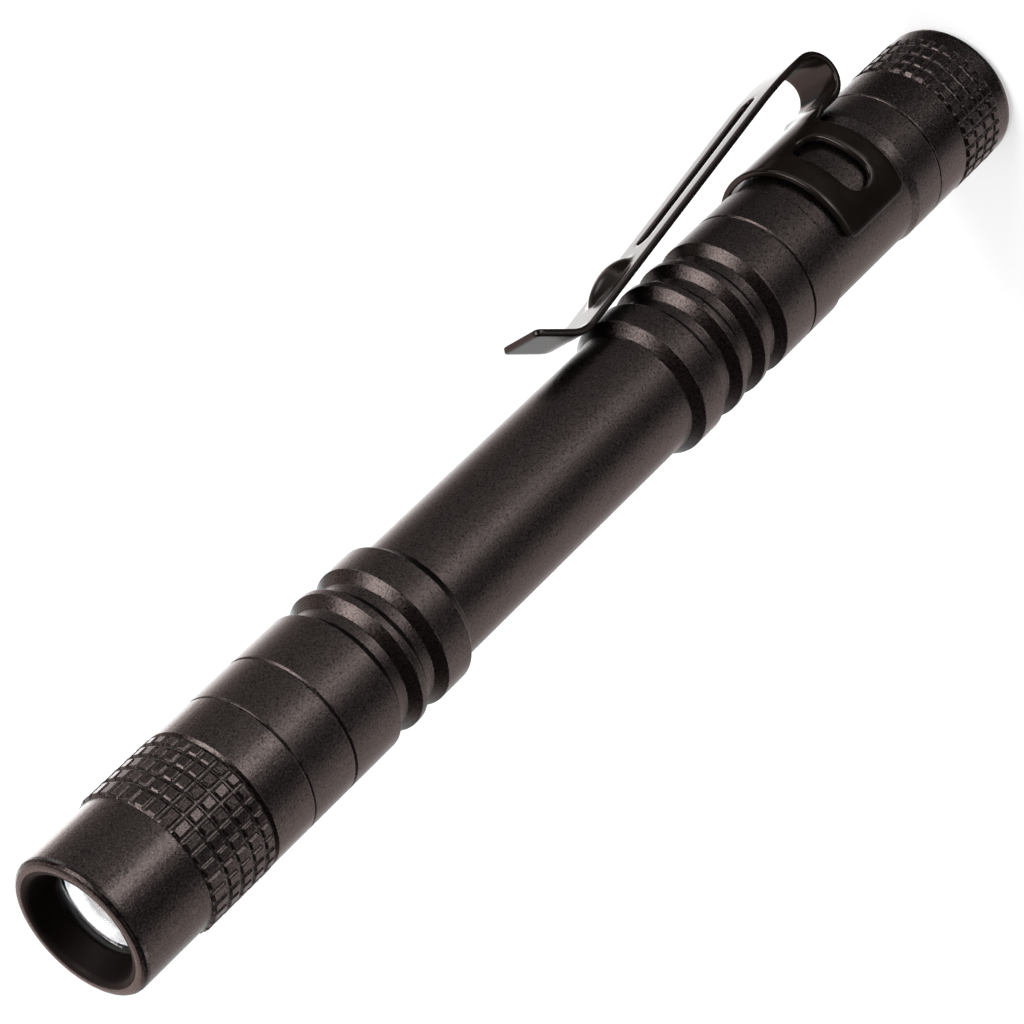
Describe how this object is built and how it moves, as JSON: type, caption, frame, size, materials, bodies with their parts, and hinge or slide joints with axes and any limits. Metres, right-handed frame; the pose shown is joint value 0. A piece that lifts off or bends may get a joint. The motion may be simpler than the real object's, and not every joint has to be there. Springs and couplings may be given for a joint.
{
  "type": "penlight",
  "caption": "Slim black metal penlight with a knurled head, recessed lens, grooved battery tube, folded spring clip and tail press switch.",
  "frame": {"origin": "centre of the tail face, on the body axis", "axes": "+Z along the body axis in the direction of the beam, +X toward the clip"},
  "size_m": [0.0196, 0.0152, 0.1268],
  "materials": {
    "anodised_black": "fine bead-blasted black anodising, satin",
    "lens": "clear polished dome",
    "seal_rubber": "matt moulded rubber",
    "reflector": "vacuum-metallised plastic, fine orange peel",
    "gasket_white": "moulded",
    "lamp_dome": "clear silicone over phosphor",
    "lamp_ceramic": "ceramic carrier with a yellow phosphor top",
    "lamp_board": "white solder mask on an aluminium core",
    "lead_sleeve": "wire insulation",
    "brass": "turned",
    "circuit_board": "green solder mask on glass fibre",
    "cell_jacket": "plain metallised film over the cell, no print",
    "button_rubber": "satin moulded rubber",
    "switch_white": "moulded",
    "switch_black": "moulded",
    "spring_steel": "drawn wire",
    "spring_gold": "gilt contact wire",
    "plain_aluminium": "turned, uncoated",
    "clip_black": "black spring steel, glossy"
  },
  "bodies": {
    "tube": {"battery_tube": "anodised_black", "battery_front": "cell_jacket", "battery_rear": "cell_jacket"},
    "head_ring": {"head_seal": "seal_rubber"},
    "head": {"head_shell": "anodised_black", "lens": "lens", "lens_seal": "seal_rubber", "reflector": "reflector", "lamp_gasket": "gasket_white", "lamp_dome": "lamp_dome", "lamp_package": "lamp_ceramic", "lamp_board": "lamp_board", "lamp_leads": "lead_sleeve", "lamp_carrier": "brass", "driver_board": "circuit_board", "driver_stud": "brass"},
    "tail_ring": {"tail_seal": "seal_rubber"},
    "tail": {"tail_cap": "anodised_black", "switch_housing": "switch_black", "switch_board": "circuit_board", "switch_ring": "plain_aluminium", "tail_spring": "spring_gold", "switch_spring": "spring_steel"},
    "push_button": {"button": "button_rubber", "switch_plunger": "switch_white"},
    "clip": {"clip_band": "clip_black"},
    "arm": {"clip_arm": "clip_black"}
  },
  "joints": [
    {"name": "head_turn", "type": "hinge", "parent": "tube", "child": "head_ring", "pos_m": [0, 0, 0.106], "axis": [0, 0, 1], "range_deg": [0, 1440]},
    {"name": "head_travel", "type": "slide", "parent": "head_ring", "child": "head", "axis": [0, 0, 1], "range_m": [0, 0.0036]},
    {"name": "tail_turn", "type": "hinge", "parent": "tube", "child": "tail_ring", "pos_m": [0, 0, 0.0126], "axis": [0, 0, -1], "range_deg": [0, 1440]},
    {"name": "tail_travel", "type": "slide", "parent": "tail_ring", "child": "tail", "axis": [0, 0, -1], "range_m": [0, 0.0036]},
    {"name": "button_press", "type": "slide", "parent": "tail", "child": "push_button", "axis": [0, 0, 1], "range_m": [0, 0.0012], "stiffness_N_per_m": 1200, "springref_m": -0.0006, "deforming": ["switch_spring"]},
    {"name": "clip_turn", "type": "hinge", "parent": "tube", "child": "clip", "pos_m": [0, 0, 0.023], "axis": [0, 0, 1], "continuous": true},
    {"name": "clip_flex", "type": "hinge", "parent": "clip", "child": "arm", "pos_m": [0.00985, 0, 0.015], "axis": [0, 1, 0], "range_deg": [0, 6], "stiffness_Nm_per_rad": 0.8}
  ],
  "couplings": [
    {"joint": "head_travel", "follows": "head_turn", "m_per_rad": 0.00014324},
    {"joint": "tail_travel", "follows": "tail_turn", "m_per_rad": 0.00014324}
  ]
}
